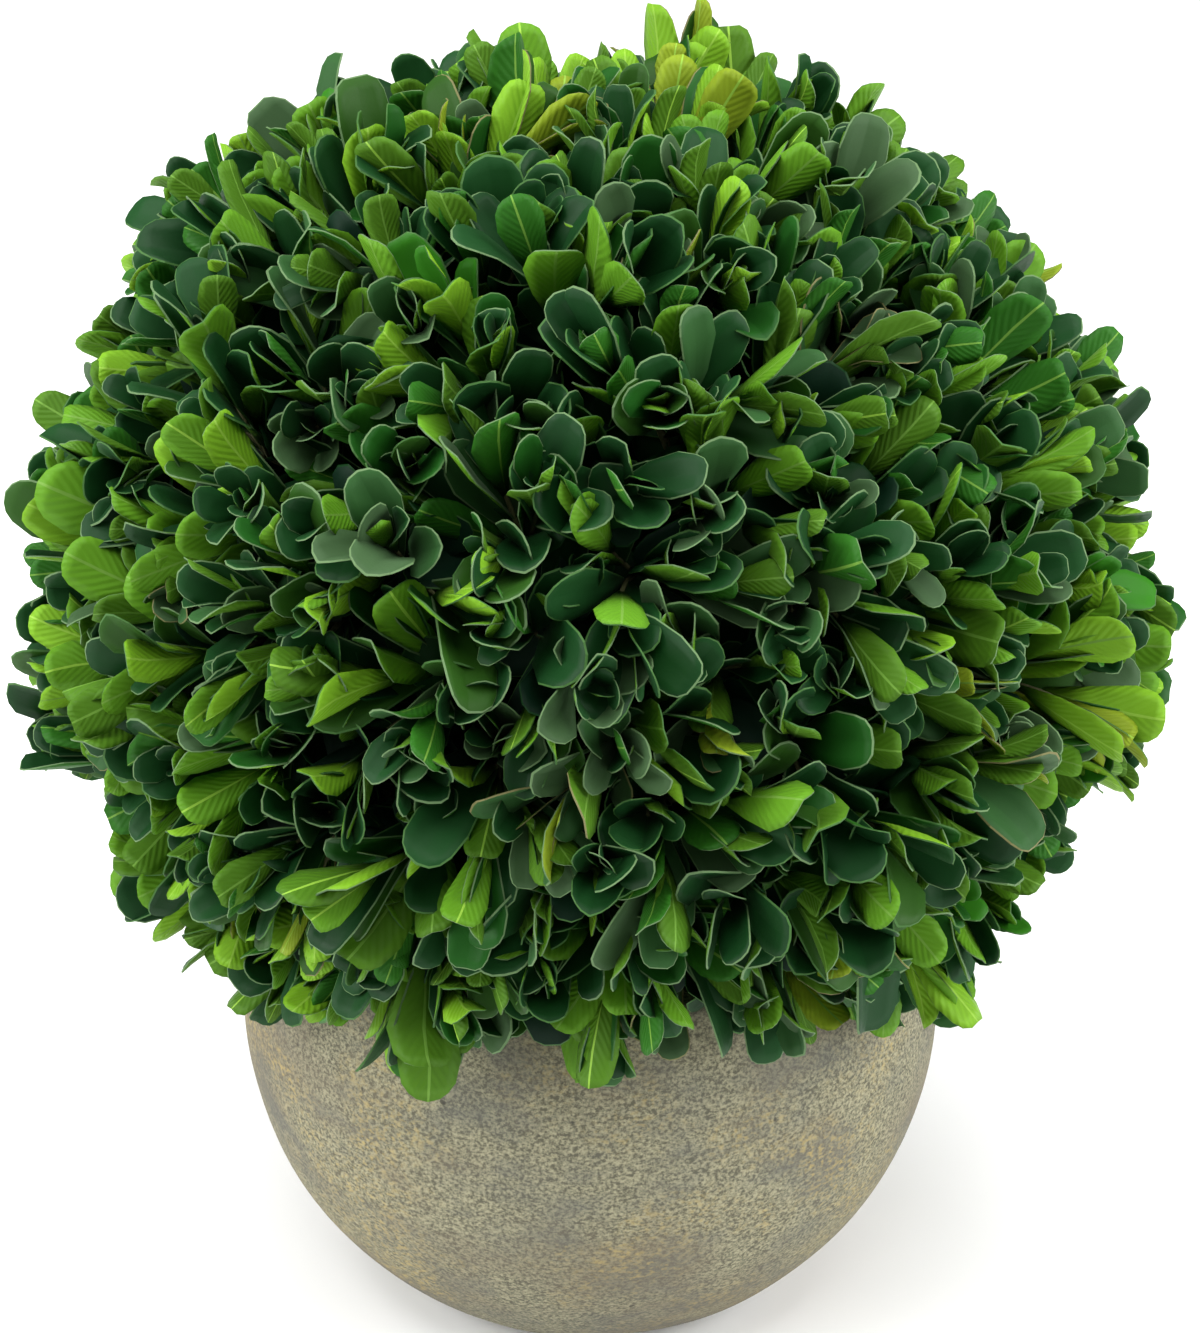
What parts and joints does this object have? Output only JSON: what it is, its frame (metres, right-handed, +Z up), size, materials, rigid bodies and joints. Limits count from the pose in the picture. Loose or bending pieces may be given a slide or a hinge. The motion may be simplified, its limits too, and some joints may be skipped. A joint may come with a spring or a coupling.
{
  "type": "potted box topiary ball",
  "caption": "Tabletop box topiary ball: one clipped leafy crown on a short hidden stem in a round-bellied stone-look pot.",
  "frame": {"origin": "middle of the pot's flat underside", "axes": "+Z up through the stem, the front of the ball faces -Y, +X to the right seen from the front"},
  "size_m": [0.244, 0.2399, 0.2809],
  "materials": {
    "cast_stone": "matte, speckled",
    "potting_soil": "matte, crumbly",
    "bark": "matte, finely furrowed",
    "foliage": "satin"
  },
  "bodies": {
    "root": {"pot": "cast_stone", "soil": "potting_soil", "stem": "bark", "crown": "foliage"}
  },
  "joints": []
}
